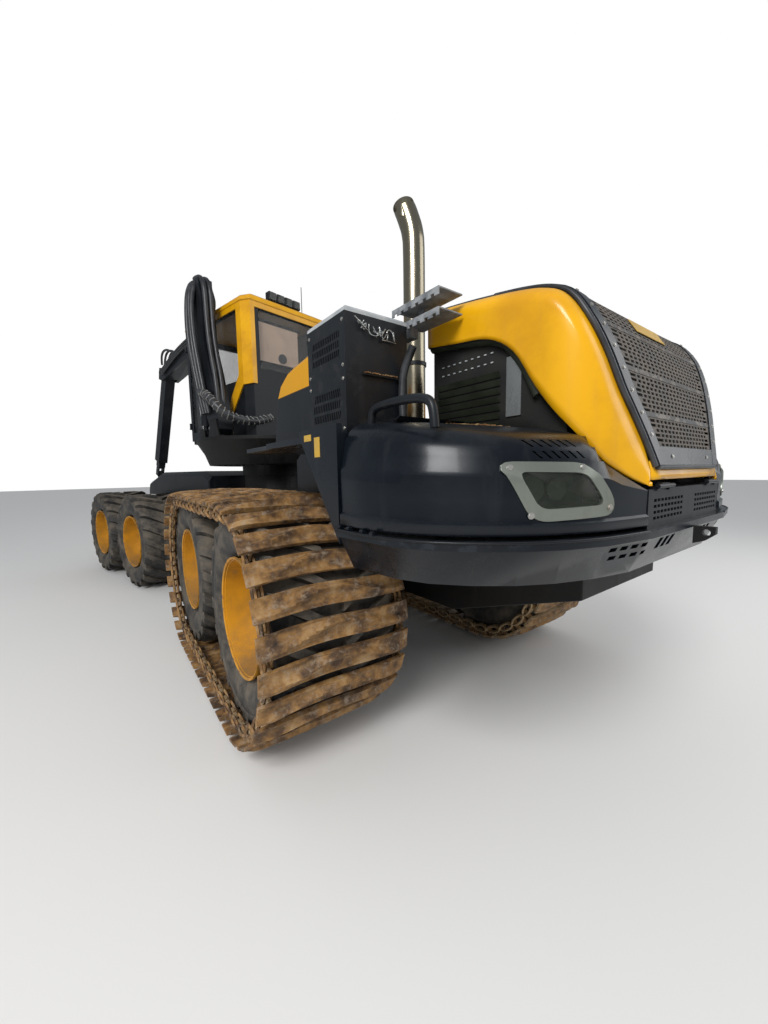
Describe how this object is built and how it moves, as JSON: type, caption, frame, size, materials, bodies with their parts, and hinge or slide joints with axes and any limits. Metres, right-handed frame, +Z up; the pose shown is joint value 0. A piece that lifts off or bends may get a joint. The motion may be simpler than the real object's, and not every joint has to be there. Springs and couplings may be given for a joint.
{
  "type": "eight-wheeled forestry harvester",
  "caption": "Eight-wheeled articulated forestry harvester with tracks on the rear bogie, a slewing cab and forked crane, and a processing head.",
  "frame": {"origin": "on the ground under the middle of the whole machine", "axes": "+Y to the machine's rear, along its length; +X to its left; +Z up"},
  "size_m": [3.7388, 9.5246, 4.049],
  "materials": {
    "yellow_paint": "satin",
    "dark_paint": "satin",
    "cover_grey": "satin",
    "frame_black": "matte",
    "rim_yellow": "worn",
    "tyre_rubber": "dusty",
    "track_steel": "rusty",
    "chrome_rod": "polished",
    "stack_steel": "polished",
    "grille_metal": "dusty",
    "glass_dark": "glossy",
    "seat_fabric": "woven"
  },
  "bodies": {
    "chassis": {"rear_frame": "frame_black", "rear_axle": "frame_black", "rear_bogies": "frame_black", "rear_tyres_left": "tyre_rubber", "rear_tyres_right": "tyre_rubber", "rear_rims_left": "rim_yellow", "rear_rims_right": "rim_yellow", "track_left": "track_steel", "track_right": "track_steel", "engine": "frame_black", "cooler": "grille_metal", "bumper": "cover_grey", "tail_panel": "dark_paint", "tow_eye": "frame_black", "service_deck": "cover_grey", "exhaust": "stack_steel", "hood_steps": "frame_black", "side_box_lower": "dark_paint", "side_box_upper": "dark_paint", "pump_cover": "cover_grey", "middle_frame": "frame_black"},
    "hood_lid": {"hood": "yellow_paint", "grille": "grille_metal"},
    "cover_left": {"side_cover_left": "cover_grey"},
    "cover_right": {"side_cover_right": "cover_grey"},
    "storage_lid": {"box_lid": "dark_paint"},
    "front": {"front_frame": "frame_black", "front_tank": "dark_paint", "front_axle": "frame_black", "front_bogies": "frame_black"},
    "upper": {"slew_table": "frame_black", "cab_shell": "dark_paint", "cab_glass": "glass_dark", "cab_pillars": "yellow_paint", "cab_roof": "yellow_paint", "seat": "seat_fabric"},
    "door": {"cab_door": "dark_paint", "door_glass": "glass_dark"},
    "boom": {"lift_boom": "dark_paint"},
    "boom_barrels": {"lift_barrels": "dark_paint"},
    "boom_rods": {"lift_rods": "chrome_rod"},
    "jib": {"stick": "dark_paint"},
    "jib_barrel": {"stick_barrel": "dark_paint"},
    "jib_rod": {"stick_rod": "chrome_rod"},
    "jib_extension": {"extension": "dark_paint"},
    "head_link": {"link": "frame_black"},
    "head_rotator": {"rotator": "frame_black"},
    "head": {"head_frame": "yellow_paint"},
    "roller_left": {"feed_roller_left": "frame_black"},
    "roller_right": {"feed_roller_right": "frame_black"},
    "blade_left": {"knife_left": "frame_black"},
    "blade_right": {"knife_right": "frame_black"},
    "wheel_left_1": {"front_tyre_left_1": "tyre_rubber", "front_rim_left_1": "rim_yellow"},
    "wheel_left_2": {"front_tyre_left_2": "tyre_rubber", "front_rim_left_2": "rim_yellow"},
    "wheel_right_1": {"front_tyre_right_1": "tyre_rubber", "front_rim_right_1": "rim_yellow"},
    "wheel_right_2": {"front_tyre_right_2": "tyre_rubber", "front_rim_right_2": "rim_yellow"}
  },
  "joints": [
    {"name": "frame_steer", "type": "hinge", "parent": "chassis", "child": "front", "pos_m": [-0.32442, -0.08299, 1], "axis": [0, 0, 1], "range_deg": [-56.6, 31.4]},
    {"name": "wheel_left_1_spin", "type": "hinge", "parent": "front", "child": "wheel_left_1", "pos_m": [1.40352, -2.77079, 0.66], "axis": [0.9759, 0.2181, 0], "continuous": true},
    {"name": "wheel_left_2_spin", "type": "hinge", "parent": "front", "child": "wheel_left_2", "pos_m": [1.0763, -1.30691, 0.66], "axis": [0.9759, 0.2181, 0], "continuous": true},
    {"name": "wheel_right_1_spin", "type": "hinge", "parent": "front", "child": "wheel_right_1", "pos_m": [-0.7435, -3.2507, 0.66], "axis": [0.9759, 0.2181, 0], "continuous": true},
    {"name": "wheel_right_2_spin", "type": "hinge", "parent": "front", "child": "wheel_right_2", "pos_m": [-1.07071, -1.78683, 0.66], "axis": [0.9759, 0.2181, 0], "continuous": true},
    {"name": "crane_slew", "type": "hinge", "parent": "chassis", "child": "upper", "pos_m": [-0.32442, -0.08299, 1.7], "axis": [0, 0, 1], "range_deg": [-152.6, 127.4]},
    {"name": "cab_door_swing", "type": "hinge", "parent": "upper", "child": "door", "pos_m": [0.57249, -1.05167, 2.8], "axis": [0, 0, -1], "range_deg": [0, 85]},
    {"name": "boom_lift", "type": "hinge", "parent": "upper", "child": "boom", "pos_m": [-0.34405, 0.00484, 2.19], "axis": [-0.9759, -0.2181, 0], "range_deg": [0, 48]},
    {"name": "jib_fold", "type": "hinge", "parent": "boom", "child": "jib", "pos_m": [0.44999, -3.5475, 3.52], "axis": [-0.9759, -0.2181, 0], "range_deg": [-10, 95]},
    {"name": "jib_slide", "type": "slide", "parent": "jib", "child": "jib_extension", "axis": [0.0876, -0.3919, -0.9158], "range_m": [0, 1.1]},
    {"name": "head_swing", "type": "hinge", "parent": "jib_extension", "child": "head_link", "pos_m": [0.62887, -4.34775, 1.65], "axis": [-0.9759, -0.2181, 0], "range_deg": [-28, 28]},
    {"name": "head_turn", "type": "hinge", "parent": "head_link", "child": "head_rotator", "pos_m": [0.62887, -4.34775, 1.39], "axis": [0, 0, 1], "continuous": true},
    {"name": "head_tilt", "type": "hinge", "parent": "head_rotator", "child": "head", "pos_m": [0.62887, -4.34775, 1.11], "axis": [0.2181, -0.9759, 0], "range_deg": [0, 90]},
    {"name": "roller_open_left", "type": "hinge", "parent": "head", "child": "roller_left", "pos_m": [0.58197, -4.13793, 0.86], "axis": [0.9759, 0.2181, 0], "range_deg": [0, 40]},
    {"name": "blade_open_left", "type": "hinge", "parent": "head", "child": "blade_left", "pos_m": [1.04713, -4.01858, 0.78], "axis": [0.9759, 0.2181, 0], "range_deg": [0, 55]},
    {"name": "roller_open_right", "type": "hinge", "parent": "head", "child": "roller_right", "pos_m": [0.67577, -4.55757, 0.86], "axis": [-0.9759, -0.2181, 0], "range_deg": [0, 40]},
    {"name": "blade_open_right", "type": "hinge", "parent": "head", "child": "blade_right", "pos_m": [1.14748, -4.4675, 0.78], "axis": [-0.9759, -0.2181, 0], "range_deg": [0, 55]},
    {"name": "hood_tilt", "type": "hinge", "parent": "chassis", "child": "hood_lid", "pos_m": [-0.32442, 4.66701, 1.51], "axis": [1, 0, 0], "range_deg": [-60, 0]},
    {"name": "cover_fold_left", "type": "hinge", "parent": "chassis", "child": "cover_left", "pos_m": [0.95158, 3.98701, 1.363], "axis": [0, 1, 0], "range_deg": [0, 90]},
    {"name": "cover_fold_right", "type": "hinge", "parent": "chassis", "child": "cover_right", "pos_m": [-1.60042, 3.98701, 1.363], "axis": [0, -1, 0], "range_deg": [0, 90]},
    {"name": "box_lid_lift", "type": "hinge", "parent": "chassis", "child": "storage_lid", "pos_m": [0.70058, 3.45801, 2.244], "axis": [1, 0, 0], "range_deg": [0, 80]},
    {"name": "lift_cylinder_barrel_swing", "type": "hinge", "parent": "upper", "child": "boom_barrels", "pos_m": [-0.25243, -0.40505, 2.11], "axis": [-0.9759, -0.2181, 0], "range_deg": [0, 33.93]},
    {"name": "lift_cylinder_rod_slide", "type": "slide", "parent": "boom_barrels", "child": "boom_rods", "axis": [-0.0302, 0.135, 0.9904], "range_m": [0, 0.2846]},
    {"name": "jib_cylinder_barrel_swing", "type": "hinge", "parent": "boom", "child": "jib_barrel", "pos_m": [0.17731, -2.3276, 3.999], "axis": [-0.9759, -0.2181, 0], "range_deg": [-0.03, 0.25]},
    {"name": "jib_cylinder_rod_slide", "type": "slide", "parent": "jib_barrel", "child": "jib_rod", "axis": [0.2131, -0.9535, -0.2129], "range_m": [-0.4411, 0.0464]}
  ],
  "couplings": [
    {"joint": "lift_cylinder_barrel_swing", "follows": "boom_lift", "ratio": 0.70696},
    {"joint": "lift_cylinder_rod_slide", "follows": "boom_lift", "m_per_rad": 0.33968},
    {"joint": "jib_cylinder_barrel_swing", "follows": "jib_fold", "ratio": 0.0026},
    {"joint": "jib_cylinder_rod_slide", "follows": "jib_fold", "m_per_rad": -0.26604}
  ]
}
